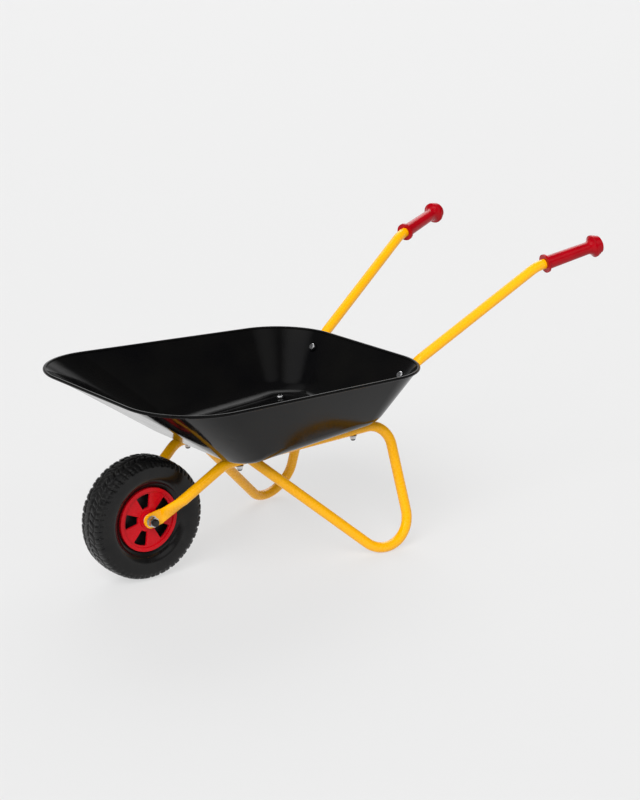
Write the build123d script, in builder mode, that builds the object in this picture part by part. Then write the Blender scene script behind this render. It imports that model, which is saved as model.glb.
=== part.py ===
"""Child's steel wheelbarrow: a pressed tub on a bent tube frame, with one wheel and two plastic grips.

Millimetres, +Z up. +X points forward, to the wheel, and +Y to the left. The origin is on the ground,
under the middle of the whole barrow. Stations along the barrow are given as distances behind the axle.
"""

from build123d import *
from math import atan2, cos, radians, sin, sqrt, tan
import os

os.makedirs("parts", exist_ok=True)

# Whole barrow
OVERALL_LENGTH = 795.0
FIT_GAP = 0.05  # slack left between pieces that are clamped or pressed together
RUNNING_GAP = 0.06  # radial clearance of the bushes on the axle
SIDES = {"left": 1, "right": -1}

# Tyre
WHEEL_RADIUS = 86.5
TYRE_HALF_WIDTH = 25.5
TYRE_SEAT_RADIUS = 45.6
TYRE_BEAD_HALF_WIDTH = 14.0
TYRE_BEAD = 3.5
TYRE_BULGE_DROP = 20.5  # from the tread down to the widest part
TYRE_SHOULDER_DROP = 2.5
TYRE_SHOULDER_HALF = 22.5
TREAD_DEPTH = 3.2
TREAD_LUGS = 30
LUG_GAP = 6.0
LUG_START = 11.0  # how far from the middle the shoulder grooves start
LUG_SKEW = 18.0  # degrees
CENTRE_GROOVE_WIDTH = 4.0

# Wheel core and hub discs
CORE_HALF_WIDTH = 13.0
CORE_BARREL = 4.5
CORE_WEB = 5.0
CORE_RIB = 2.0
CORE_RIB_SET_BACK = 3.0
HUB_RADIUS = 13.0
DISC_THICKNESS = 3.0
DISC_RING_WIDTH = 5.0
DISC_RING_HEIGHT = 2.0
DISC_BOSS_HEIGHT = 2.2
WINDOW_COUNT = 5
WINDOW_INNER_RADIUS = 17.0
WINDOW_OUTER_RADIUS = 37.5
WINDOW_ANGLE = 34.0
WINDOW_CORNER = 1.5
WINDOW_START = 66.0

# Axle and its hardware
AXLE_RADIUS = 4.0
AXLE_CHAMFER = 0.6
BUSH_WALL = 2.5
BUSH_FLANGE = 1.2
BUSH_FLANGE_RADIUS = 9.0
BUSH_DEPTH = 12.0
SIDE_PLAY = 0.3
AXLE_WASHER_RADIUS = 8.0
AXLE_WASHER = 1.2
AXLE_NUT_FLATS = 13.0
AXLE_NUT = 6.5
AXLE_THREAD_PROUD = 4.0
AXLE_CAP_WALL = 1.2
NUT_CHAMFER = 0.5

# Frame tubes
TUBE_RADIUS = 7.5
TUBE_WALL = 1.25
EYE_RADIUS = 10.5
EYE_THICKNESS = 3.2
EYE_LENGTH = 17.0
EYE_SLOPE = 10.0  # degrees, upwards to the rear
EYE_ROUNDING = 0.45  # edge radius as a share of the eye's thickness
SWELL_THICKNESS = 9.0
SWELL_WIDTH = 19.0
ARM_LOW_BEHIND = 38.0
ARM_LOW_OUT = 23.8  # outside the eye's middle
ARM_LOW_UP = 28.0  # above the axle
ARM_TOP_Y = 60.8
ARM_TOP_BEHIND = 98.0
ARM_TOP_BEND_RADIUS = 40.0

# Handles and grip line
HANDLE_FOOT_Y = 92.0
HANDLE_EYE_LENGTH = 9.0
HANDLE_PINCH = 14.0  # from the handle's bend to where its tube is round again
WALL_TOP_Y = 105.5
WALL_TOP_UP = 97.0  # along the rear wall, from the floor to the handle's bend
GRIP_BEND_FROM_END = 109.0
GRIP_BEND_Y = 152.5
GRIP_BEND_HEIGHT = 382.8
GRIP_SLOPE = 13.2  # degrees, upwards
GRIP_SPLAY = 14.3  # degrees, outwards
GRIP_BEND_RADIUS = 60.0

# Leg loops
FOOT_BEHIND = 319.5
FOOT_Y = 146.5
LEG_SPLAY = 8.0  # degrees, outward towards the back, seen from above
LEG_LEAN = 18.8  # degrees, outward towards the foot, seen from behind
LEG_FRONT_SLOPE = 42.5  # degrees
LEG_REAR_LEAN = 3.5  # degrees
LEG_FOOT_RADIUS = 44.0
LEG_TOP_RADIUS = 34.0
LEG_CUT_SHARE = 0.7  # where the front run's welded end starts
WELD_SINK = 0.2

# Tub
RIM_FRONT_AHEAD = 78.0
RIM_REAR_BEHIND = 401.0
RIM_FRONT_HALF = 197.0  # at the corners before they are rounded
RIM_REAR_HALF = 175.4
RIM_FRONT_HEIGHT = 280.4
RIM_REAR_HEIGHT = 267.8
RIM_FRONT_RADIUS = 100.0
RIM_REAR_RADIUS = 93.0
FLOOR_FRONT_BEHIND = 90.0
FLOOR_REAR_BEHIND = 346.0
FLOOR_FRONT_HALF = 122.0
FLOOR_REAR_HALF = 116.0
FLOOR_FRONT_HEIGHT = 166.0
FLOOR_REAR_HEIGHT = 183.0
FLOOR_RADIUS = 44.0
FOLD_RADIUS = 40.0
SHEET = 1.0
BEAD_RADIUS = 2.3

# Pressed pads of the tub, and its bolts
PAD_RADIUS = 7.0
PAD_INSIDE = 1.0  # how far a pad stands up inside the tub
FLOOR_PAD_PROUD = 1.0  # how far it stands out of the floor
WALL_PAD_PROUD = 2.7  # and out of the rear wall
FRONT_BOLT_BEHIND = 120.0
REAR_BOLT_BEHIND = 305.0
WALL_BOLT_UP = 73.0  # along the rear wall
BOLT_RADIUS = 2.5
BOLT_HOLE_GAP = 0.25
BOLT_HEAD_RADIUS = 5.6
BOLT_HEAD = 2.6
BOLT_HEAD_ROUNDING = 2.2
BOLT_SOCKET_FLATS = 3.0
BOLT_SOCKET_DEPTH = 1.5
BOLT_THREAD_PROUD = 1.5
DRILL_OVERRUN = 2.0
WASHER_RADIUS = 5.6
WASHER = 1.0
NUT_FLATS = 8.0
NUT = 4.0
CAP_WALL = 1.0

# Grips, measured along the grip from its collar
GRIP_FROM_BEND = 14.0
COLLAR_RADIUS = 14.0
COLLAR = 3.2
SLEEVE_START_WALL = 2.75
SLEEVE_END_WALL = 1.85
SLEEVE_LENGTH = 70.0
KNOB_RADIUS = 16.8
KNOB_FLARE = 11.0
KNOB_RIDGE = 3.0
KNOB_GROOVE = 1.2
KNOB_RIDGES = 3
KNOB_STEP = 1.8
KNOB_DOME = 3.0
GRIP_BORE_DEPTH = 78.0

# Worked out from the above
AXLE_X = OVERALL_LENGTH / 2 - WHEEL_RADIUS
AXLE_AXIS = Axis((AXLE_X, 0, WHEEL_RADIUS), (0, 1, 0))
SECTION_PLANE = Plane(origin=(AXLE_X, 0, WHEEL_RADIUS), x_dir=(0, 1, 0), z_dir=(1, 0, 0))
DISC_FACE_Y = CORE_HALF_WIDTH + DISC_THICKNESS
BUSH_SEAT_Y = DISC_FACE_Y + DISC_BOSS_HEIGHT
BUSH_RADIUS = AXLE_RADIUS + RUNNING_GAP + BUSH_WALL
EYE_INNER_Y = BUSH_SEAT_Y + BUSH_FLANGE + SIDE_PLAY + AXLE_WASHER
EYE_OUTER_Y = EYE_INNER_Y + EYE_THICKNESS
AXLE_NUT_Y = EYE_OUTER_Y + AXLE_WASHER
AXLE_END_Y = AXLE_NUT_Y + AXLE_NUT + AXLE_THREAD_PROUD
GRIP_BORE_RADIUS = TUBE_RADIUS + FIT_GAP


# ---------------------------------------------------------------- places
def point(behind, y, z):
    """A point of the barrow, from its station behind the axle."""
    return Vector(AXLE_X - behind, y, z)


def on_side(place, side):
    """A left-hand point, moved to the given side."""
    return Vector(place.X, place.Y * side, place.Z)


FLOOR_FRONT = point(FLOOR_FRONT_BEHIND, 0, FLOOR_FRONT_HEIGHT)
FLOOR_REAR = point(FLOOR_REAR_BEHIND, 0, FLOOR_REAR_HEIGHT)
RIM_FRONT = point(-RIM_FRONT_AHEAD + BEAD_RADIUS, 0, RIM_FRONT_HEIGHT - BEAD_RADIUS)
RIM_REAR = point(RIM_REAR_BEHIND - BEAD_RADIUS, 0, RIM_REAR_HEIGHT - BEAD_RADIUS)
FLOOR_DIR = (FLOOR_FRONT - FLOOR_REAR).normalized()
FLOOR_UP = Vector(-FLOOR_DIR.Z, 0, FLOOR_DIR.X)
RIM_DIR = (RIM_FRONT - RIM_REAR).normalized()
RIM_UP = Vector(-RIM_DIR.Z, 0, RIM_DIR.X)


def floor_point(behind, y):
    """A point on the floor's underside."""
    share = (behind - FLOOR_FRONT_BEHIND) / (FLOOR_REAR_BEHIND - FLOOR_FRONT_BEHIND)
    return point(behind, y, FLOOR_FRONT_HEIGHT + share * (FLOOR_REAR_HEIGHT - FLOOR_FRONT_HEIGHT))


def floor_run(behind, y):
    """Centre of a tube that runs under the floor, against the pads."""
    return floor_point(behind, y) - FLOOR_UP * (TUBE_RADIUS + FLOOR_PAD_PROUD + FIT_GAP)


def wall_point(rear, y, half, radius):
    """Where a tube of the handle meets the rear wall, which curves away forward near its corners."""
    into_corner = max(0.0, y - (half - radius))
    tube_path = radius + TUBE_RADIUS
    return rear + Vector(tube_path - sqrt(tube_path**2 - into_corner**2), y, 0)


def leg_point(along, up):
    """A point in the leg's tilted plane, from the spot under its foot."""
    splay, lean = radians(LEG_SPLAY), radians(LEG_LEAN)
    back = Vector(-cos(splay), sin(splay), 0)
    rise = Vector(-sin(splay) * sin(lean), -cos(splay) * sin(lean), cos(lean))
    return point(FOOT_BEHIND, FOOT_Y, 0) + back * along + rise * up


def leg_corner():
    """Where the leg's two runs would cross below the ground, along and up its plane."""
    front, rear = 180 - LEG_FRONT_SLOPE, 90 + LEG_REAR_LEAN
    middle, half = radians((front + rear) / 2), radians((front - rear) / 2)
    reach = LEG_FOOT_RADIUS / sin(half)
    centre_up = TUBE_RADIUS / cos(radians(LEG_LEAN)) + LEG_FOOT_RADIUS
    return -reach * cos(middle), centre_up - reach * sin(middle)


def leg_run_top(angle):
    """Where a run of the leg, at this angle in its plane, reaches the height of the tube under the floor."""
    along, up = leg_corner()
    low = leg_point(along, up)
    step = leg_point(along + cos(radians(angle)), up + sin(radians(angle))) - low
    distance = (floor_run(FLOOR_REAR_BEHIND, 0) - low).dot(FLOOR_UP) / step.dot(FLOOR_UP)
    return low + step * distance


# Route of the left-hand tubes, from the axle to the grip
EYE = point(0, (EYE_INNER_Y + EYE_OUTER_Y) / 2, WHEEL_RADIUS)
EYE_DIR = Vector(-cos(radians(EYE_SLOPE)), 0, sin(radians(EYE_SLOPE)))
ARM_LOW = EYE + Vector(-ARM_LOW_BEHIND, ARM_LOW_OUT, ARM_LOW_UP)
ARM_TOP = floor_run(ARM_TOP_BEHIND, ARM_TOP_Y)
LEG_REAR_TOP = leg_run_top(90 + LEG_REAR_LEAN)
LEG_CORNER = leg_point(*leg_corner())
LEG_FRONT_TOP = leg_run_top(180 - LEG_FRONT_SLOPE)
WALL_FOOT = wall_point(FLOOR_REAR, HANDLE_FOOT_Y, FLOOR_REAR_HALF, FLOOR_RADIUS)
WALL_HEAD = wall_point(RIM_REAR, WALL_TOP_Y, RIM_REAR_HALF, RIM_REAR_RADIUS)
WALL_RUN = (WALL_HEAD - WALL_FOOT).normalized()
WALL_OUT = Vector(-WALL_RUN.Z, 0, WALL_RUN.X).normalized()
HANDLE_LINE = WALL_FOOT + WALL_OUT * (TUBE_RADIUS + WALL_PAD_PROUD + FIT_GAP)
WALL_BOLT = WALL_FOOT + WALL_RUN * WALL_BOLT_UP
HANDLE_EYE = WALL_BOLT + WALL_OUT * (WALL_PAD_PROUD + FIT_GAP + EYE_THICKNESS / 2)
HANDLE_BEND = HANDLE_LINE + WALL_RUN * WALL_TOP_UP
GRIP_BEND = point(OVERALL_LENGTH - WHEEL_RADIUS - GRIP_BEND_FROM_END, GRIP_BEND_Y, GRIP_BEND_HEIGHT)
HANDLE_LOW = HANDLE_BEND + (GRIP_BEND - HANDLE_BEND).normalized() * HANDLE_PINCH
GRIP_DIR = Vector(
    -cos(radians(GRIP_SLOPE)) * cos(radians(GRIP_SPLAY)),
    cos(radians(GRIP_SLOPE)) * sin(radians(GRIP_SPLAY)),
    sin(radians(GRIP_SLOPE)),
)
GRIP_START = GRIP_BEND + GRIP_DIR * GRIP_FROM_BEND
HANDLE_END = GRIP_START + GRIP_DIR * (GRIP_BORE_DEPTH - FIT_GAP)


# ---------------------------------------------------------------- shapes used by several pieces
def rod_along(places, radii, radius):
    """A round rod along straight runs joined by bends."""
    with BuildPart() as rod:
        with BuildLine() as route:
            FilletPolyline(*places, radius=radii)
        with BuildSketch(Plane(origin=places[0], z_dir=places[1] - places[0])):
            Circle(radius)
        sweep(path=route.wires()[0])
    return rod.part


def tube_along(places, radii):
    """A frame tube along straight runs joined by bends."""
    outside = rod_along(places, radii, TUBE_RADIUS)
    bore = rod_along(places, radii, TUBE_RADIUS - TUBE_WALL)
    with BuildPart() as tube:
        add(outside)
        add(bore, mode=Mode.SUBTRACT)
    return tube.part


def ring(place, way, thickness, outer, inner=0.0):
    """A flat ring, or a plain disc, from this place on, pointing this way."""
    with BuildPart() as flat:
        with BuildSketch(Plane(origin=place, z_dir=way)):
            Circle(outer)
            if inner:
                Circle(inner, mode=Mode.SUBTRACT)
        extrude(amount=thickness)
    return flat.part


def bar_between(start, end, radius):
    """A straight round bar between two points."""
    return ring(start, end - start, (end - start).length, radius)


def hex_nut(place, way, height, flats, bore):
    """A hexagon nut with its corners taken off at both faces."""
    seat = Plane(origin=place, z_dir=way)
    with BuildPart() as nut:
        with BuildSketch(seat):
            Circle(flats / 2 / cos(radians(30)))
        extrude(amount=height)
        chamfer(nut.edges().filter_by(GeomType.CIRCLE), NUT_CHAMFER)
        with BuildSketch(seat):
            RegularPolygon(flats / 2, 6, major_radius=False)
        extrude(amount=height, mode=Mode.INTERSECT)
        with BuildSketch(seat):
            Circle(bore)
        extrude(amount=height, mode=Mode.SUBTRACT)
    return nut.part


def domed_cap(place, way, height, bore, wall):
    """A blind push-on cap with a domed end, over a thread of this height."""
    seat = Plane(origin=place, z_dir=way)
    with BuildPart() as cap:
        with BuildSketch(seat):
            Circle(bore + wall)
        extrude(amount=height + wall)
        fillet(cap.edges().filter_by(GeomType.CIRCLE).sort_by(Axis(place, way))[-1], (bore + wall) / 2)
        with BuildSketch(seat):
            Circle(bore)
        extrude(amount=height, mode=Mode.SUBTRACT)
    return cap.part


def on_floor_run(behind):
    """The spot on the floor's underside over the frame tube's centre."""
    share = (behind - ARM_TOP_BEHIND) / (AXLE_X - LEG_REAR_TOP.X - ARM_TOP_BEHIND)
    return floor_point(behind, ARM_TOP.Y + share * (LEG_REAR_TOP.Y - ARM_TOP.Y))


# The left side's tub bolts: spot on the tub's outside, way out of it, the pad's height there,
# and the thickness of what the bolt clamps against the pad
LEFT_TUB_BOLTS = [
    (on_floor_run(FRONT_BOLT_BEHIND), FLOOR_UP * -1, FLOOR_PAD_PROUD, 2 * TUBE_RADIUS),
    (on_floor_run(REAR_BOLT_BEHIND), FLOOR_UP * -1, FLOOR_PAD_PROUD, 2 * TUBE_RADIUS),
    (WALL_BOLT, WALL_OUT, WALL_PAD_PROUD, EYE_THICKNESS),
]
ALL_TUB_BOLTS = [(on_side(bolt[0], side), *bolt[1:]) for side in SIDES.values() for bolt in LEFT_TUB_BOLTS]


def pad_inside(spot, way):
    """The inner face of the pad at a bolt."""
    return spot - way * (SHEET + PAD_INSIDE)


def drilled(bolts):
    """Bars that drill these bolts' holes through the sheet and the tubes."""
    bars = []
    for spot, way, proud, clamped in bolts:
        start = pad_inside(spot, way) - way * DRILL_OVERRUN
        end = spot + way * (proud + clamped + DRILL_OVERRUN)
        bars.append(bar_between(start, end, BOLT_RADIUS + BOLT_HOLE_GAP))
    return bars


# ---------------------------------------------------------------- tub
def wall_insets(angle):
    """How far the inside of a wall at this slope lies in from its outside, at the rim and on the floor."""
    return SHEET / sin(angle), SHEET * tan(angle / 2)


def wall_slopes():
    """Slope of the front, rear and side walls."""
    rise_front = RIM_FRONT.Z - FLOOR_FRONT.Z
    rise_rear = RIM_REAR.Z - FLOOR_REAR.Z
    flare = RIM_FRONT_HALF + RIM_REAR_HALF - FLOOR_FRONT_HALF - FLOOR_REAR_HALF
    front = atan2(rise_front, RIM_FRONT.X - FLOOR_FRONT.X)
    rear = atan2(rise_rear, FLOOR_REAR.X - RIM_REAR.X)
    side = atan2(rise_front + rise_rear, flare)
    return front, rear, side


def outline(plane, length, halves, radii, insets):
    """Rounded trapezoid in the plane of the rim or the floor. Halves and radii are front, rear."""
    in_front, in_rear, in_side = insets
    front_half, rear_half = halves[0] - in_side, halves[1] - in_side
    front_radius, rear_radius = radii[0] - in_side, radii[1] - in_side
    with BuildSketch(plane) as face:
        with BuildLine():
            FilletPolyline(
                (in_rear, -rear_half),
                (length - in_front, -front_half),
                (length - in_front, front_half),
                (in_rear, rear_half),
                radius=(rear_radius, front_radius, front_radius, rear_radius),
                close=True,
            )
        make_face()
    return face.sketch


def rim_outline(inside=False):
    """The tub's outline in the plane of its rim."""
    insets = [wall_insets(angle)[0] if inside else 0.0 for angle in wall_slopes()]
    halves = (RIM_FRONT_HALF - BEAD_RADIUS, RIM_REAR_HALF - BEAD_RADIUS)
    radii = (RIM_FRONT_RADIUS - BEAD_RADIUS, RIM_REAR_RADIUS - BEAD_RADIUS)
    plane = Plane(origin=RIM_REAR, x_dir=RIM_DIR, z_dir=RIM_UP)
    return outline(plane, (RIM_FRONT - RIM_REAR).length, halves, radii, insets)


def floor_outline(inside=False):
    """The outline of the tub's floor, on its underside or on its upper side."""
    insets = [wall_insets(angle)[1] if inside else 0.0 for angle in wall_slopes()]
    halves = (FLOOR_FRONT_HALF, FLOOR_REAR_HALF)
    lift = SHEET if inside else 0.0
    plane = Plane(origin=FLOOR_REAR + FLOOR_UP * lift, x_dir=FLOOR_DIR, z_dir=FLOOR_UP)
    return outline(plane, (FLOOR_FRONT - FLOOR_REAR).length, halves, (FLOOR_RADIUS, FLOOR_RADIUS), insets)


def tub_block(inside):
    """Solid block with the tub's outside or inside shape."""
    sections = [floor_outline(inside), rim_outline(inside)]
    fold = FOLD_RADIUS - SHEET if inside else FOLD_RADIUS
    with BuildPart() as block:
        loft(sections=sections, ruled=True)
        fillet(block.faces().sort_by(Axis.Z)[0].edges(), fold)
    return block.part


def rim_bead():
    """Rolled edge round the rim."""
    rim = rim_outline()
    edge = rim.edges().filter_by(GeomType.LINE).sort_by(Axis.X)[0]
    with BuildPart() as bead:
        with BuildSketch(Plane(origin=edge @ 0, z_dir=edge % 0)):
            Circle(BEAD_RADIUS)
        sweep(path=rim.wires()[0])
    return bead.part


tub_outside, tub_inside = tub_block(inside=False), tub_block(inside=True)
rolled_edge = rim_bead()
pads = []
for spot, way, proud, _ in ALL_TUB_BOLTS:
    pads.append(bar_between(pad_inside(spot, way), spot + way * proud, PAD_RADIUS))
tub_holes = drilled(ALL_TUB_BOLTS)
with BuildPart() as tub:
    add(tub_outside)
    add(tub_inside, mode=Mode.SUBTRACT)
    add(rolled_edge)
    add(pads)
    add(tub_holes, mode=Mode.SUBTRACT)
tub.part.label = "tub"
export_step(tub.part, "parts/tub.step")


# ---------------------------------------------------------------- frame tubes, handles and grips
def flattened_end(eye, along, length, flat, start, towards):
    """A tube's pinched end: a round flat eye, this long, that swells back to a round tube at its start."""
    eye_end = eye + along * length
    swell = (eye_end + start) * 0.5
    with BuildPart() as pinched:
        with BuildSketch(Plane(origin=eye - flat * (EYE_THICKNESS / 2), x_dir=along, z_dir=flat)):
            Circle(EYE_RADIUS)
            with Locations((length / 2, 0)):
                Rectangle(length, 2 * EYE_RADIUS)
        extrude(amount=EYE_THICKNESS)
        with BuildSketch(Plane(origin=eye_end, x_dir=flat, z_dir=along)):
            RectangleRounded(EYE_THICKNESS, 2 * EYE_RADIUS, EYE_THICKNESS * EYE_ROUNDING)
        with BuildSketch(Plane(origin=swell, x_dir=flat, z_dir=start - eye_end)):
            Ellipse(SWELL_THICKNESS / 2, SWELL_WIDTH / 2)
        with BuildSketch(Plane(origin=start, x_dir=flat, z_dir=towards - start)):
            Circle(TUBE_RADIUS)
        loft()
    return pinched.part


def frame_tube():
    """Fork arm, floor run and whole leg in one bent tube. Its end is welded on under the floor run."""
    weld_start = LEG_CORNER + (LEG_FRONT_TOP - LEG_CORNER) * LEG_CUT_SHARE
    route = (ARM_LOW, ARM_TOP, LEG_REAR_TOP, LEG_CORNER, weld_start)
    bent_tube = tube_along(route, (ARM_TOP_BEND_RADIUS, LEG_TOP_RADIUS, LEG_FOOT_RADIUS))
    leg_end = bar_between(weld_start, LEG_FRONT_TOP, TUBE_RADIUS)
    leg_bore = bar_between(weld_start, LEG_FRONT_TOP, TUBE_RADIUS - TUBE_WALL)
    floor_core = bar_between(ARM_TOP, LEG_REAR_TOP, TUBE_RADIUS - WELD_SINK)
    pinched_end = flattened_end(EYE, EYE_DIR, EYE_LENGTH, Vector(0, 1, 0), ARM_LOW, ARM_TOP)
    through_eye = Vector(0, EYE_THICKNESS, 0)
    eye_hole = bar_between(EYE - through_eye, EYE + through_eye, AXLE_RADIUS + FIT_GAP)
    bolt_holes = drilled(LEFT_TUB_BOLTS[:2])
    with BuildPart() as welded_end:
        add(leg_end)
        add([leg_bore, floor_core], mode=Mode.SUBTRACT)
    with BuildPart() as frame:
        add([bent_tube, welded_end.part, pinched_end])
        add([eye_hole, *bolt_holes], mode=Mode.SUBTRACT)
    return frame


def handle_tube():
    """Handle: a pinched foot bolted to the rear wall, then a round tube over the rim and up to the grip."""
    bent_tube = tube_along((HANDLE_LOW, GRIP_BEND, HANDLE_END), (GRIP_BEND_RADIUS,))
    foot = flattened_end(HANDLE_EYE, WALL_RUN, HANDLE_EYE_LENGTH, WALL_OUT, HANDLE_LOW, GRIP_BEND)
    bolt_hole = drilled(LEFT_TUB_BOLTS[2:])
    with BuildPart() as handle:
        add([bent_tube, foot])
        add(bolt_hole, mode=Mode.SUBTRACT)
    return handle


def push_on_grip():
    """Grip: a collar, a tapered sleeve and a ridged mushroom knob, with a blind bore for the tube."""
    across = Vector(0, 0, 1).cross(GRIP_DIR).normalized()
    sleeve_end = (GRIP_BORE_RADIUS + SLEEVE_END_WALL, COLLAR + SLEEVE_LENGTH)
    knob_start = (KNOB_RADIUS, sleeve_end[1] + KNOB_FLARE)
    steps = [knob_start]
    radius, at = knob_start
    for _ in range(KNOB_RIDGES):
        steps += [(radius, at + KNOB_RIDGE), (radius - KNOB_STEP, at + KNOB_RIDGE)]
        radius -= KNOB_STEP
        at += KNOB_RIDGE + KNOB_GROOVE
        steps += [(radius, at)]
    pole = (0, at + KNOB_DOME)
    with BuildPart() as grip:
        with BuildSketch(Plane(origin=GRIP_START, x_dir=across, z_dir=across.cross(GRIP_DIR))):
            with BuildLine():
                Polyline(
                    pole,
                    (0, GRIP_BORE_DEPTH),
                    (GRIP_BORE_RADIUS, GRIP_BORE_DEPTH),
                    (GRIP_BORE_RADIUS, 0),
                    (COLLAR_RADIUS, 0),
                    (COLLAR_RADIUS, COLLAR),
                    (GRIP_BORE_RADIUS + SLEEVE_START_WALL, COLLAR),
                    sleeve_end,
                )
                TangentArc(sleeve_end, knob_start, tangent=(0, 1))
                Polyline(*steps)
                TangentArc(pole, (radius, at), tangent=(1, 0))
            make_face()
        revolve(axis=Axis(GRIP_START, GRIP_DIR))
    return grip


# The right-hand side mirrors the left
for name, left in {"frame_tube": frame_tube(), "handle_tube": handle_tube(), "grip": push_on_grip()}.items():
    with BuildPart() as right:
        mirror(left.part, about=Plane.XZ)
    left.part.label = f"{name}_left"
    export_step(left.part, f"parts/{name}_left.step")
    right.part.label = f"{name}_right"
    export_step(right.part, f"parts/{name}_right.step")


# ---------------------------------------------------------------- wheel
def hub(y):
    """A point on the axle's axis, this far to the left of the middle."""
    return Vector(AXLE_X, y, WHEEL_RADIUS)


def hub_ring(face_y, side, thickness, outer, inner=0.0):
    """A ring round the axle on one side, from this distance off the middle outwards."""
    return ring(hub(face_y * side), Vector(0, side, 0), thickness, outer, inner)


TYRE_SHOULDER = (TYRE_SHOULDER_HALF, WHEEL_RADIUS - TYRE_SHOULDER_DROP)
TYRE_BULGE = (TYRE_HALF_WIDTH, WHEEL_RADIUS - TYRE_BULGE_DROP)
TYRE_BEAD_TOP = (TYRE_BEAD_HALF_WIDTH, TYRE_SEAT_RADIUS + TYRE_BEAD)
TYRE_BEAD_FOOT = (TYRE_BEAD_HALF_WIDTH, TYRE_SEAT_RADIUS)

with BuildPart() as tyre:
    with BuildSketch(SECTION_PLANE):
        with BuildLine():
            Polyline((0, TYRE_SEAT_RADIUS), TYRE_BEAD_FOOT, TYRE_BEAD_TOP)
            Spline(TYRE_BEAD_TOP, TYRE_BULGE, TYRE_SHOULDER)
            TangentArc((0, WHEEL_RADIUS), TYRE_SHOULDER, tangent=(1, 0))
            Line((0, WHEEL_RADIUS), (0, TYRE_SEAT_RADIUS))
        make_face()
        mirror(about=Plane.YZ)
    revolve(axis=AXLE_AXIS)
    for side in SIDES.values():
        with BuildSketch(Plane(origin=hub(LUG_START * side), x_dir=(1, 0, 0), z_dir=(0, side, 0))):
            with PolarLocations(WHEEL_RADIUS, TREAD_LUGS, start_angle=90 + side * 90 / TREAD_LUGS):
                Rectangle(2 * TREAD_DEPTH, LUG_GAP, rotation=LUG_SKEW * side)
        extrude(amount=TYRE_HALF_WIDTH, mode=Mode.SUBTRACT)
    with BuildSketch(SECTION_PLANE):
        with Locations((0, WHEEL_RADIUS)):
            Rectangle(CENTRE_GROOVE_WIDTH, 2 * TREAD_DEPTH)
    revolve(axis=AXLE_AXIS, mode=Mode.SUBTRACT)
tyre.part.label = "tyre"
export_step(tyre.part, "parts/tyre.step")

CORE_RADIUS = TYRE_SEAT_RADIUS - FIT_GAP
HUB_BORE = BUSH_RADIUS + FIT_GAP
RIB_LENGTH = CORE_RADIUS - CORE_BARREL / 2 - (HUB_BORE + HUB_RADIUS) / 2
RIB_MIDDLE = HUB_RADIUS + (CORE_RADIUS - CORE_BARREL - HUB_RADIUS) / 2

core_rings = []
for side in SIDES.values():
    core_rings += [
        hub_ring(0, side, CORE_HALF_WIDTH, CORE_RADIUS, CORE_RADIUS - CORE_BARREL),
        hub_ring(0, side, CORE_WEB / 2, CORE_RADIUS - CORE_BARREL / 2, HUB_BORE),
        hub_ring(0, side, CORE_HALF_WIDTH, HUB_RADIUS, HUB_BORE),
    ]
with BuildPart() as wheel_core:
    add(core_rings)
    with BuildSketch(Plane(origin=hub(0), x_dir=(1, 0, 0), z_dir=(0, -1, 0))):
        with PolarLocations(RIB_MIDDLE, WINDOW_COUNT, start_angle=180 / WINDOW_COUNT - WINDOW_START):
            Rectangle(RIB_LENGTH, CORE_RIB)
    extrude(amount=CORE_HALF_WIDTH - CORE_RIB_SET_BACK, both=True)
wheel_core.part.label = "wheel_core"
export_step(wheel_core.part, "parts/wheel_core.step")


def window_cuts(side):
    """The sector-shaped windows of a hub disc, as solids to cut away."""
    edge = radians(WINDOW_ANGLE / 2)
    inner_x, inner_y = WINDOW_INNER_RADIUS * cos(edge), WINDOW_INNER_RADIUS * sin(edge)
    outer_x, outer_y = WINDOW_OUTER_RADIUS * cos(edge), WINDOW_OUTER_RADIUS * sin(edge)
    with BuildPart() as window:
        with BuildSketch(Plane(origin=hub(0), x_dir=(1, 0, 0), z_dir=(0, side, 0))) as shape:
            with BuildLine():
                Line((inner_x, -inner_y), (outer_x, -outer_y))
                ThreePointArc((outer_x, -outer_y), (WINDOW_OUTER_RADIUS, 0), (outer_x, outer_y))
                Line((outer_x, outer_y), (inner_x, inner_y))
                ThreePointArc((inner_x, inner_y), (WINDOW_INNER_RADIUS, 0), (inner_x, -inner_y))
            make_face()
            fillet(shape.vertices(), WINDOW_CORNER)
        extrude(amount=BUSH_SEAT_Y + DISC_RING_HEIGHT)
    turns = [WINDOW_START + step * 360 / WINDOW_COUNT for step in range(WINDOW_COUNT)]
    return [window.part.rotate(AXLE_AXIS, turn) for turn in turns]


def hub_disc_on(side):
    """Red cover disc of the wheel, with a raised ring, a boss for the bush and five windows."""
    disc_rings = [
        hub_ring(CORE_HALF_WIDTH, side, DISC_THICKNESS, CORE_RADIUS, HUB_BORE),
        hub_ring(DISC_FACE_Y, side, DISC_RING_HEIGHT, CORE_RADIUS, CORE_RADIUS - DISC_RING_WIDTH),
        hub_ring(DISC_FACE_Y, side, DISC_BOSS_HEIGHT, HUB_RADIUS, HUB_BORE),
    ]
    windows = window_cuts(side)
    with BuildPart() as hub_disc:
        add(disc_rings)
        add(windows, mode=Mode.SUBTRACT)
    return hub_disc


def axle_bush_on(side):
    """Flanged plastic bush, pressed into the hub from this side."""
    flange = hub_ring(BUSH_SEAT_Y, side, BUSH_FLANGE, BUSH_FLANGE_RADIUS, AXLE_RADIUS + RUNNING_GAP)
    sleeve = hub_ring(BUSH_SEAT_Y - BUSH_DEPTH, side, BUSH_DEPTH, BUSH_RADIUS, AXLE_RADIUS + RUNNING_GAP)
    with BuildPart() as axle_bush:
        add([flange, sleeve])
    return axle_bush


for name, side in SIDES.items():
    hub_disc = hub_disc_on(side)
    hub_disc.part.label = f"hub_disc_{name}"
    export_step(hub_disc.part, f"parts/hub_disc_{name}.step")

    axle_bush = axle_bush_on(side)
    axle_bush.part.label = f"axle_bush_{name}"
    export_step(axle_bush.part, f"parts/axle_bush_{name}.step")


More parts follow.
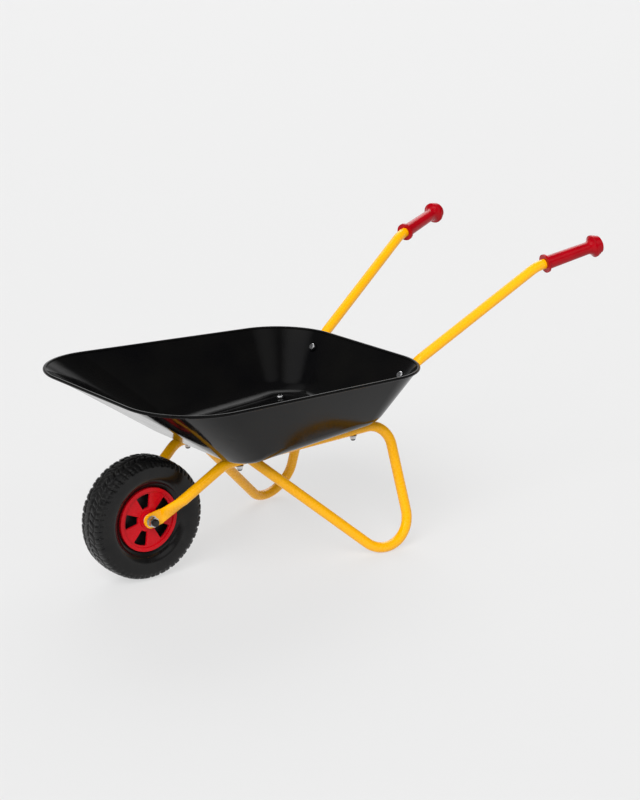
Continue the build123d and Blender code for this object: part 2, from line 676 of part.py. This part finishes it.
# ---------------------------------------------------------------- axle and what holds it in the fork
with BuildPart() as axle:
    with BuildSketch(Plane(origin=hub(0), z_dir=(0, 1, 0))):
        Circle(AXLE_RADIUS)
    extrude(amount=AXLE_END_Y, both=True)
    chamfer(axle.edges().filter_by(GeomType.CIRCLE).sort_by(Axis.Y)[0], AXLE_CHAMFER)
    chamfer(axle.edges().filter_by(GeomType.CIRCLE).sort_by(Axis.Y)[-1], AXLE_CHAMFER)
axle.part.label = "axle"
export_step(axle.part, "parts/axle.step")

AXLE_FIT = AXLE_RADIUS + FIT_GAP
inner_washers, outer_washers, nuts, caps = [], [], [], []
for side in SIDES.values():
    outwards = Vector(0, side, 0)
    inner_washers.append(hub_ring(EYE_INNER_Y - AXLE_WASHER, side, AXLE_WASHER, AXLE_WASHER_RADIUS, AXLE_FIT))
    outer_washers.append(hub_ring(EYE_OUTER_Y, side, AXLE_WASHER, AXLE_WASHER_RADIUS, AXLE_FIT))
    nuts.append(hex_nut(hub(AXLE_NUT_Y * side), outwards, AXLE_NUT, AXLE_NUT_FLATS, AXLE_FIT))
    cap_start = hub((AXLE_NUT_Y + AXLE_NUT) * side)
    caps.append(domed_cap(cap_start, outwards, AXLE_THREAD_PROUD + FIT_GAP, AXLE_FIT, AXLE_CAP_WALL))

with BuildPart() as axle_inner_washers:
    add(inner_washers)
axle_inner_washers.part.label = "axle_inner_washers"
export_step(axle_inner_washers.part, "parts/axle_inner_washers.step")

with BuildPart() as axle_outer_washers:
    add(outer_washers)
axle_outer_washers.part.label = "axle_outer_washers"
export_step(axle_outer_washers.part, "parts/axle_outer_washers.step")

with BuildPart() as axle_nuts:
    add(nuts)
axle_nuts.part.label = "axle_nuts"
export_step(axle_nuts.part, "parts/axle_nuts.step")

with BuildPart() as axle_nut_caps:
    add(caps)
axle_nut_caps.part.label = "axle_nut_caps"
export_step(axle_nut_caps.part, "parts/axle_nut_caps.step")


# ---------------------------------------------------------------- tub bolts and what holds them
def tub_bolt(spot, way, shank_length):
    """Button-head bolt, with its head inside the tub."""
    seat = pad_inside(spot, way)
    head_way = way * -1
    shank = bar_between(seat, spot + way * shank_length, BOLT_RADIUS)
    with BuildPart() as head:
        with BuildSketch(Plane(origin=seat, z_dir=head_way)):
            Circle(BOLT_HEAD_RADIUS)
        extrude(amount=BOLT_HEAD)
        fillet(head.edges().filter_by(GeomType.CIRCLE).sort_by(Axis(seat, head_way))[-1], BOLT_HEAD_ROUNDING)
        with BuildSketch(Plane(origin=seat + head_way * (BOLT_HEAD - BOLT_SOCKET_DEPTH), z_dir=head_way)):
            RegularPolygon(BOLT_SOCKET_FLATS / 2, 6, major_radius=False)
        extrude(amount=BOLT_SOCKET_DEPTH, mode=Mode.SUBTRACT)
    with BuildPart() as bolt:
        add([head.part, shank])
    return bolt.part


bolts, washers, nuts, caps = [], [], [], []
for spot, way, proud, clamped in ALL_TUB_BOLTS:
    washer_height = proud + clamped + 2 * FIT_GAP
    washer_at = spot + way * washer_height
    nut_at = washer_at + way * WASHER
    cap_at = nut_at + way * NUT
    bolts.append(tub_bolt(spot, way, washer_height + WASHER + NUT + BOLT_THREAD_PROUD))
    washers.append(ring(washer_at, way, WASHER, WASHER_RADIUS, BOLT_RADIUS + FIT_GAP))
    nuts.append(hex_nut(nut_at, way, NUT, NUT_FLATS, BOLT_RADIUS + FIT_GAP))
    caps.append(domed_cap(cap_at, way, BOLT_THREAD_PROUD + FIT_GAP, BOLT_RADIUS + FIT_GAP, CAP_WALL))

with BuildPart() as tub_bolts:
    add(bolts)
tub_bolts.part.label = "tub_bolts"
export_step(tub_bolts.part, "parts/tub_bolts.step")

with BuildPart() as tub_washers:
    add(washers)
tub_washers.part.label = "tub_washers"
export_step(tub_washers.part, "parts/tub_washers.step")

with BuildPart() as tub_nuts:
    add(nuts)
tub_nuts.part.label = "tub_nuts"
export_step(tub_nuts.part, "parts/tub_nuts.step")

with BuildPart() as tub_nut_caps:
    add(caps)
tub_nut_caps.part.label = "tub_nut_caps"
export_step(tub_nut_caps.part, "parts/tub_nut_caps.step")
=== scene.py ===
"""Looks for the child's wheelbarrow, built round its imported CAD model.

Metres, in the CAD model's own frame: +Z up, +X forward to the wheel and +Y to the left.
"""

from math import cos, pi, radians, sin

import bpy
import numpy as np
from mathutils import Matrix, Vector


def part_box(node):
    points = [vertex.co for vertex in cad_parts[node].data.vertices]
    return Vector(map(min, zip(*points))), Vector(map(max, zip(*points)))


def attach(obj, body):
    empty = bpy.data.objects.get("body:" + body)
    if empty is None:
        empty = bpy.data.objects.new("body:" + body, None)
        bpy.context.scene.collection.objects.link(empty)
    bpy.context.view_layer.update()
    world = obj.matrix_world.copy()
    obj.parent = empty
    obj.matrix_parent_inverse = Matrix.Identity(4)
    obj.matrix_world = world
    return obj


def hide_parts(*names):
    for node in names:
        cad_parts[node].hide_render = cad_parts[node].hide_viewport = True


MM = 0.001

# Camera: where it stands round the barrow, and the point at mid-length that it looks at
CAMERA_AZIMUTH = 141.4  # degrees; 0 looks along +Y
CAMERA_ELEVATION = 16.5
CAMERA_DISTANCE = 2.5313
CAMERA_AIM = (0.0, 0.0036, 0.1971)
CAMERA_LENS = 77.67  # millimetres

# Studio
FLOOR_HALF = 40.0
FLOOR_SINK = 0.0004
FLOOR_TONE = 0.20
FLOOR_PATCH = 0.99  # how much of that tone the darker patches keep
FLOOR_GLOW = 0.595
SKY_HIGH = 0.12
SKY_LOW = 0.84
SKY_TURN = 0.30  # sine of the elevation where the pale horizon has faded
SUN_AZIMUTH = 124.0
SUN_ELEVATION = 40.0
SUN_STRENGTH = 2.85
SUN_SIZE = 40.0  # degrees across
# Softboxes: azimuth, elevation, angles from their middle where they are full and gone, strength
SOFTBOXES = [
    (100.0, 50.0, 4.0, 30.0, 1.4),
    (185.0, 42.0, 4.0, 26.0, 0.8),
    (20.0, 62.0, 4.0, 24.0, 0.5),
    (321.0, 40.0, 14.0, 30.0, 3.2),
]

# Tyre, in millimetres: (half width, radius) from the crown to the bead
TYRE_PROFILE = [
    (0.0, 86.5),
    (8.0, 86.3),
    (16.0, 85.5),
    (21.6, 83.6),
    (24.2, 80.0),
    (25.5, 74.0),
    (25.8, 67.0),
    (24.6, 60.0),
    (21.2, 54.6),
    (17.6, 51.4),
    (16.6, 49.6),
    (15.4, 47.2),
    (14.0, 45.7),
]
PROFILE_STEPS = 12  # points from one of these to the next, before they are spaced evenly
TYRE_SECTIONS = 600
TYRE_SPACING = 1.1
TREAD_LUGS = 30
TREAD_DEPTH = 1.7
TREAD_FOOT = (76.5, 79.5)  # radii between which the shoulder grooves run out
CENTRE_GROOVE = 0.8  # half width
ROW_GROOVE = (12.0, 0.8, 1.2)  # middle, half width and waviness
BLOCK_GAP = 0.9  # half width of the grooves between blocks
BLOCK_SLANT = 0.55  # how far round a groove runs for each millimetre across
OUTER_SLANT = -0.25  # the outer row's slant, as a share of the inner row's
OUTER_START = 0.5  # how far the outer row is turned on, as a share of a block
OUTER_GAP = 1.5  # how much wider the outer row's grooves are
BLOCK_EDGE = 0.9
SIPE = (0.45, 0.55)  # half width of the slit across each block, and its share of the depth
BLOCK_JITTER = 0.06  # how far a groove strays, as a share of a block
BLOCK_UNEVEN = 0.35  # how much lower a block may be
BLOCK_SEED = 11
TYRE_ROUGHNESS = (0.15, 0.27)  # on its side and on its tread
TREAD_START = (79.0, 83.0)  # radii between which the one turns into the other
DUST_ROUGHNESS = 0.06  # what dust adds

# The range that the noise texture mostly keeps to
NOISE_LOW = 0.3
NOISE_HIGH = 0.7

# Which finish each CAD node takes; the names are the record's material slots
FINISHES = {
    "tub": "black_paint",
    "frame_tube_left": "yellow_powder_coat",
    "frame_tube_right": "yellow_powder_coat",
    "handle_tube_left": "yellow_powder_coat",
    "handle_tube_right": "yellow_powder_coat",
    "grip_left": "red_grip",
    "grip_right": "red_grip",
    "wheel_core": "black_plastic",
    "hub_disc_left": "red_disc",
    "hub_disc_right": "red_disc",
    "axle_bush_left": "white_bush",
    "axle_bush_right": "white_bush",
    "axle": "bright_steel",
    "axle_inner_washers": "zinc_steel",
    "axle_outer_washers": "zinc_steel",
    "axle_nuts": "zinc_steel",
    "axle_nut_caps": "black_cap",
    "tub_bolts": "bright_steel",
    "tub_washers": "zinc_steel",
    "tub_nuts": "zinc_steel",
    "tub_nut_caps": "black_cap",
}

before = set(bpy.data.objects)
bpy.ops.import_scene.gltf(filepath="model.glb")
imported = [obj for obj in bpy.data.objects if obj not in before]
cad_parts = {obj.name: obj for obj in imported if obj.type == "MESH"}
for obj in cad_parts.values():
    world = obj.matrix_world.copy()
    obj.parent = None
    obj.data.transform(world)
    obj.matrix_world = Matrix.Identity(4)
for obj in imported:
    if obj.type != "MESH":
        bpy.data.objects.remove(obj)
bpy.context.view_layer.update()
axle_low, axle_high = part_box("axle")
HUB = (axle_low + axle_high) / 2


# ---------------------------------------------------------------- materials
class Nodes:
    """A node tree, whose nodes are added one by one and joined as they are made."""

    def __init__(self, tree, coordinates):
        self.tree = tree
        self.place = self.node("ShaderNodeTexCoord").outputs[coordinates]

    def node(self, kind, settings=None, **inputs):
        """A node with these settings. Each input is a socket to join or a plain value; _0 is the first."""
        made = self.tree.nodes.new(kind)
        for name, value in (settings or {}).items():
            setattr(made, name, value)
        for name, value in inputs.items():
            key = int(name[1:]) if name.startswith("_") else name
            self.join(value, made.inputs[key])
        return made

    def join(self, value, socket):
        if isinstance(value, bpy.types.NodeSocket):
            self.tree.links.new(value, socket)
        else:
            socket.default_value = value

    def math(self, operation, *values):
        inputs = {f"_{i}": value for i, value in enumerate(values)}
        return self.node("ShaderNodeMath", {"operation": operation}, **inputs).outputs[0]

    def spread(self, value, low=0.0, high=1.0, start=NOISE_LOW, end=NOISE_HIGH, curve="LINEAR"):
        """The value's range from start to end, stretched to run from low to high."""
        settings = {"clamp": True, "interpolation_type": curve}
        made = self.node("ShaderNodeMapRange", settings, Value=value, _1=start, _2=end, _3=low, _4=high)
        return made.outputs["Result"]


class Shader(Nodes):
    """The nodes of a new material."""

    def __init__(self, name):
        self.material = bpy.data.materials.new(name)
        self.material.use_nodes = True
        super().__init__(self.material.node_tree, "Object")
        self.surface = self.tree.nodes["Principled BSDF"]

    def noise(self, scale, detail, roughness=0.5):
        """Noise of this many grains to the metre, with finer detail in this many steps."""
        inputs = {"Vector": self.place, "Scale": scale, "Detail": detail, "Roughness": roughness}
        return self.node("ShaderNodeTexNoise", **inputs).outputs["Fac"]

    def between(self, share, one, other):
        """One colour turning into the other."""
        made = self.node("ShaderNodeMix", {"data_type": "RGBA"}, _0=share)
        self.join((*one, 1.0), made.inputs[6])
        self.join((*other, 1.0), made.inputs[7])
        return made.outputs[2]

    def bump(self, height, depth, normal=None):
        """A bump of this depth in millimetres."""
        made = self.node("ShaderNodeBump", Height=height, Distance=depth * MM, Strength=1.0)
        if normal:
            self.join(normal, made.inputs["Normal"])
        return made.outputs["Normal"]

    def paint(self, colour=None, roughness=None, normal=None, **values):
        """Joins the shader's main sockets and sets its constant ones."""
        for name, socket in (("Base Color", colour), ("Roughness", roughness), ("Normal", normal)):
            if socket is not None:
                self.join(socket, self.surface.inputs[name])
        for name, value in values.items():
            self.surface.inputs[name].default_value = value
        return self.material


def black_paint():
    """Glossy stove enamel, with a faint orange peel and dust-soft patches."""
    s = Shader("black_paint")
    cloud = s.spread(s.noise(scale=14.0, detail=4.0))
    colour = s.between(cloud, (0.0022, 0.0022, 0.0026), (0.0045, 0.0043, 0.0040))
    roughness = s.spread(s.noise(scale=35.0, detail=5.0), low=0.07, high=0.13)
    peel = s.bump(s.noise(scale=420.0, detail=1.0), depth=0.008)
    return s.paint(colour, roughness, peel, IOR=1.185)


def yellow_powder_coat():
    """Thick powder coat: a fine stipple, a little deeper where the powder gathered."""
    s = Shader("yellow_powder_coat")
    cloud = s.spread(s.noise(scale=40.0, detail=4.0))
    colour = s.between(cloud, (0.93, 0.425, 0.0), (0.95, 0.445, 0.0005))
    roughness = s.spread(s.noise(scale=300.0, detail=3.0), low=0.25, high=0.30)
    stipple = s.bump(s.noise(scale=1400.0, detail=2.0), depth=0.007)
    return s.paint(colour, roughness, stipple, IOR=1.42)


def red_plastic(name, dark, light, gloss, grain):
    """Moulded red plastic with slight flow marks."""
    s = Shader(name)
    flow = s.spread(s.noise(scale=26.0, detail=5.0, roughness=0.6))
    colour = s.between(flow, dark, light)
    roughness = s.spread(s.noise(scale=120.0, detail=4.0), *gloss)
    skin = s.bump(s.noise(scale=grain, detail=2.0), depth=0.01)
    return s.paint(colour, roughness, skin, IOR=1.27)


def black_rubber():
    """Moulded rubber: a smooth, shiny side and a duller, dustier tread."""
    s = Shader("tyre_rubber")
    spot = s.node("ShaderNodeSeparateXYZ", _0=s.place)
    flat = s.node("ShaderNodeCombineXYZ", _0=spot.outputs[0], _2=spot.outputs[2])
    hub = (HUB.x, 0.0, HUB.z)
    reach = s.node("ShaderNodeVectorMath", {"operation": "DISTANCE"}, _0=flat.outputs[0], _1=hub)
    edge = [radius * MM for radius in TREAD_START]
    clean = s.spread(reach.outputs["Value"], *TYRE_ROUGHNESS, *edge)
    dust = s.spread(s.noise(scale=60.0, detail=6.0, roughness=0.6))
    roughness = s.math("MULTIPLY_ADD", dust, DUST_ROUGHNESS, clean)
    colour = s.between(dust, (0.0035, 0.0035, 0.0038), (0.009, 0.0087, 0.0084))
    skin = s.bump(s.noise(scale=1100.0, detail=3.0), depth=0.01)
    wrinkled = s.bump(s.noise(scale=170.0, detail=3.0), depth=0.03, normal=skin)
    return s.paint(colour, roughness, wrinkled, IOR=1.33)


def plain_plastic(name, dark, light, gloss):
    """Moulded plastic with a fine spark-eroded skin."""
    s = Shader(name)
    colour = s.between(s.spread(s.noise(scale=50.0, detail=4.0)), dark, light)
    roughness = s.spread(s.noise(scale=200.0, detail=3.0), *gloss)
    skin = s.bump(s.noise(scale=1500.0, detail=2.0), depth=0.02)
    return s.paint(colour, roughness, skin, IOR=1.47)


def steel(name, dark, light, gloss, spangle):
    """Plated steel, with fine grain and slightly cloudy plating."""
    s = Shader(name)
    colour = s.between(s.spread(s.noise(scale=spangle, detail=4.0)), dark, light)
    roughness = s.spread(s.noise(scale=spangle * 2, detail=4.0), *gloss)
    grain = s.bump(s.noise(scale=2500.0, detail=2.0), depth=0.01)
    return s.paint(colour, roughness, grain, Metallic=1.0)


MATERIALS = {
    "black_paint": black_paint(),
    "yellow_powder_coat": yellow_powder_coat(),
    "red_grip": red_plastic(
        "red_grip",
        dark=(0.31, 0.0, 0.004),
        light=(0.40, 0.0005, 0.007),
        gloss=(0.14, 0.24),
        grain=900.0,
    ),
    "red_disc": red_plastic(
        "red_disc",
        dark=(0.50, 0.002, 0.008),
        light=(0.62, 0.004, 0.011),
        gloss=(0.22, 0.32),
        grain=700.0,
    ),
    "tyre_rubber": black_rubber(),
    "black_plastic": plain_plastic(
        "black_plastic",
        dark=(0.006, 0.006, 0.006),
        light=(0.012, 0.012, 0.012),
        gloss=(0.35, 0.50),
    ),
    "white_bush": plain_plastic(
        "white_bush",
        dark=(0.62, 0.61, 0.57),
        light=(0.72, 0.71, 0.68),
        gloss=(0.35, 0.50),
    ),
    "zinc_steel": steel(
        "zinc_steel",
        dark=(0.50, 0.51, 0.53),
        light=(0.66, 0.67, 0.68),
        gloss=(0.26, 0.42),
        spangle=500.0,
    ),
    "bright_steel": steel(
        "bright_steel",
        dark=(0.62, 0.62, 0.63),
        light=(0.78, 0.78, 0.79),
        gloss=(0.16, 0.28),
        spangle=350.0,
    ),
    "black_cap": plain_plastic(
        "black_cap",
        dark=(0.004, 0.004, 0.004),
        light=(0.009, 0.009, 0.009),
        gloss=(0.22, 0.35),
    ),
}


# ---------------------------------------------------------------- tyre
def smooth_line(points, steps):
    """A Catmull-Rom curve through the points, with this many steps from each to the next."""
    ends = [2 * points[0] - points[1], *points, 2 * points[-1] - points[-2]]
    line = []
    for a, b, c, d in zip(ends, ends[1:], ends[2:], ends[3:]):
        for t in np.arange(steps) / steps:
            bend = (2 * a - 5 * b + 4 * c - d) * t**2 + (3 * b - a - 3 * c + d) * t**3
            line.append(0.5 * (2 * b + (c - a) * t + bend))
    return np.array([*line, points[-1]])


def even_points(line, spacing):
    """The line divided into equal steps of about this length, and each point's distance along it."""
    steps = np.hypot(*np.diff(line, axis=0).T)
    along = np.concatenate([[0.0], np.cumsum(steps)])
    places = np.linspace(0, along[-1], round(along[-1] / spacing) + 1)
    return np.column_stack([np.interp(places, along, line[:, i]) for i in (0, 1)]), places


def ease(value):
    """0 below 0, 1 above 1 and a smooth rise between them."""
    t = np.clip(value, 0, 1)
    return t * t * (3 - 2 * t)


def tread_grooves(angle, across, seed):
    """How deep the tread is cut, from 0 on a block to 1 in a groove, on one side of the middle."""
    pitch = 2 * pi * TYRE_PROFILE[0][1] / TREAD_LUGS
    turns = angle / (2 * pi) * TREAD_LUGS
    row_middle, row_half, row_wave = ROW_GROOVE
    row_line = row_middle + row_wave * np.sin(2 * pi * turns)
    outer = across > row_line
    row = outer.astype(int)
    slant = BLOCK_SLANT * across / pitch
    slanted = turns + np.where(outer, OUTER_START + OUTER_SLANT * slant, slant)
    draw = np.random.default_rng(seed)
    jitter = draw.uniform(-BLOCK_JITTER, BLOCK_JITTER, (2, TREAD_LUGS))
    lift = draw.uniform(0, BLOCK_UNEVEN, (2, TREAD_LUGS))

    centre = ease((across - CENTRE_GROOVE) / BLOCK_EDGE)
    between_rows = ease((abs(across - row_line) - row_half) / BLOCK_EDGE)
    nearest = np.round(slanted)
    off = slanted - nearest + jitter[row, nearest.astype(int) % TREAD_LUGS]
    gap = BLOCK_GAP * np.where(outer, OUTER_GAP, 1.0)
    beside = ease((abs(off) * pitch - gap) / BLOCK_EDGE)
    block = np.floor(slanted)
    slit_half, slit_share = SIPE
    from_slit = abs(slanted - block - 0.5) * pitch - slit_half
    slit = 1 - slit_share * (1 - ease(from_slit / BLOCK_EDGE))
    top = 1 - lift[row, block.astype(int) % TREAD_LUGS] / TREAD_DEPTH
    return 1 - centre * between_rows * beside * slit * top


def carved_half(side, angle):
    """One half of the tyre with its grooves: (across, radius) at each angle, from the crown to the bead.

    The right half, side -1, is turned on by half a block.
    """
    outline = smooth_line([np.array(point) for point in TYRE_PROFILE], PROFILE_STEPS)
    points, along = even_points(outline, TYRE_SPACING)
    tangent = np.gradient(points, axis=0)
    inward = np.column_stack([tangent[:, 1], -tangent[:, 0]])
    inward /= np.hypot(*inward.T)[:, None]
    foot_low, foot_high = TREAD_FOOT
    cut = ease((points[:, 1] - foot_low) / (foot_high - foot_low)) * TREAD_DEPTH
    around = angle if side == 1 else angle + pi / TREAD_LUGS
    grooves = tread_grooves(around[:, None], along[None, :], BLOCK_SEED + side)
    half = points[None] + inward[None] * (grooves * cut[None])[:, :, None]
    half[:, :, 0] *= side
    return half


def ring_faces(rings, count):
    """Quads that join rings of this many points, and the last ring to the first."""
    faces = []
    for ring in range(rings):
        here = ring * count
        there = (ring + 1) % rings * count
        for i in range(count):
            j = (i + 1) % count
            faces.append((here + i, here + j, there + j, there + i))
    return faces


def tyre_mesh():
    """The whole tyre as one closed mesh of rings, with its blocks standing out of the grooves."""
    angle = np.arange(TYRE_SECTIONS) * 2 * pi / TYRE_SECTIONS
    left = carved_half(1, angle)
    right = carved_half(-1, angle)
    section = np.concatenate([left, right[:, :0:-1]], axis=1) * MM
    across = section[:, :, 0]
    radius = section[:, :, 1]
    x = HUB.x + radius * np.cos(angle)[:, None]
    y = HUB.y + across
    z = HUB.z + radius * np.sin(angle)[:, None]
    spots = np.stack([x, y, z], axis=2).reshape(-1, 3)
    mesh = bpy.data.meshes.new("tyre_tread")
    mesh.from_pydata(spots.tolist(), [], ring_faces(TYRE_SECTIONS, section.shape[1]))
    mesh.shade_smooth()
    return mesh


def add_tyre():
    """The tyre with its tread, in place of the CAD model's plain one."""
    tyre = bpy.data.objects.new("tyre_tread", tyre_mesh())
    bpy.context.scene.collection.objects.link(tyre)
    tyre.data.materials.append(MATERIALS["tyre_rubber"])
    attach(tyre, "wheel")
    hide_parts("tyre")


# ---------------------------------------------------------------- studio
def direction(azimuth, elevation):
    """From the barrow towards a light or the camera; azimuth 0 is on its -Y side, and 90 in front."""
    a, e = radians(azimuth), radians(elevation)
    return Vector((sin(a) * cos(e), -cos(a) * cos(e), sin(e)))


def add_camera():
    """The camera, level and aimed at CAMERA_AIM."""
    data = bpy.data.cameras.new("camera")
    data.lens = CAMERA_LENS
    camera = bpy.data.objects.new("camera", data)
    back = direction(CAMERA_AZIMUTH, CAMERA_ELEVATION)
    camera.location = Vector(CAMERA_AIM) + back * CAMERA_DISTANCE
    camera.rotation_mode = "QUATERNION"
    camera.rotation_quaternion = (-back).to_track_quat("-Z", "Y")
    bpy.context.scene.collection.objects.link(camera)
    bpy.context.scene.camera = camera


def add_sun():
    """A large soft sun, which the glossy paint doesn't mirror."""
    data = bpy.data.lights.new("sun", "SUN")
    data.energy = SUN_STRENGTH
    data.angle = radians(SUN_SIZE)
    sun = bpy.data.objects.new("sun", data)
    sun.rotation_mode = "QUATERNION"
    sun.rotation_quaternion = (-direction(SUN_AZIMUTH, SUN_ELEVATION)).to_track_quat("-Z", "Y")
    sun.visible_glossy = False
    bpy.context.scene.collection.objects.link(sun)


def add_sky():
    """A studio that is pale round the horizon and dark overhead, with soft-edged boxes of light."""
    world = bpy.data.worlds.new("studio")
    world.use_nodes = True
    n = Nodes(world.node_tree, "Generated")
    height = n.node("ShaderNodeSeparateXYZ", _0=n.place).outputs[2]
    light = n.spread(height, SKY_LOW, SKY_HIGH, 0.0, SKY_TURN, "SMOOTHSTEP")
    for azimuth, elevation, full, gone, strength in SOFTBOXES:
        middle = direction(azimuth, elevation)
        near = n.node("ShaderNodeVectorMath", {"operation": "DOT_PRODUCT"}, _0=n.place, _1=middle)
        edges = cos(radians(gone)), cos(radians(full))
        box = n.spread(near.outputs["Value"], 0.0, strength, *edges, "SMOOTHSTEP")
        light = n.math("ADD", light, box)
    n.join(light, n.tree.nodes["Background"].inputs["Color"])
    bpy.context.scene.world = world


def pale_floor():
    """Matt and pale, with a glow that keeps the shadow on it weak."""
    s = Shader("pale_floor")
    tone = s.between(s.noise(scale=0.8, detail=2.0), (FLOOR_TONE,) * 3, (FLOOR_TONE * FLOOR_PATCH,) * 3)
    glow = {"Emission Color": (1.0, 1.0, 1.0, 1.0), "Emission Strength": FLOOR_GLOW}
    return s.paint(tone, roughness=0.9, IOR=1.2, **glow)


def add_floor():
    """A wide floor, a hair under the wheel and the feet."""
    signs = ((-1, -1), (1, -1), (1, 1), (-1, 1))
    mesh = bpy.data.meshes.new("floor")
    mesh.from_pydata([(x * FLOOR_HALF, y * FLOOR_HALF, -FLOOR_SINK) for x, y in signs], [], [(0, 1, 2, 3)])
    mesh.materials.append(pale_floor())
    floor = bpy.data.objects.new("floor", mesh)
    bpy.context.scene.collection.objects.link(floor)


for name, finish in FINISHES.items():
    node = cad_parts[name]
    node.data.materials.clear()
    node.data.materials.append(MATERIALS[finish])

add_tyre()
add_camera()
add_sun()
add_sky()
add_floor()
bpy.context.scene.view_settings.view_transform = "Standard"
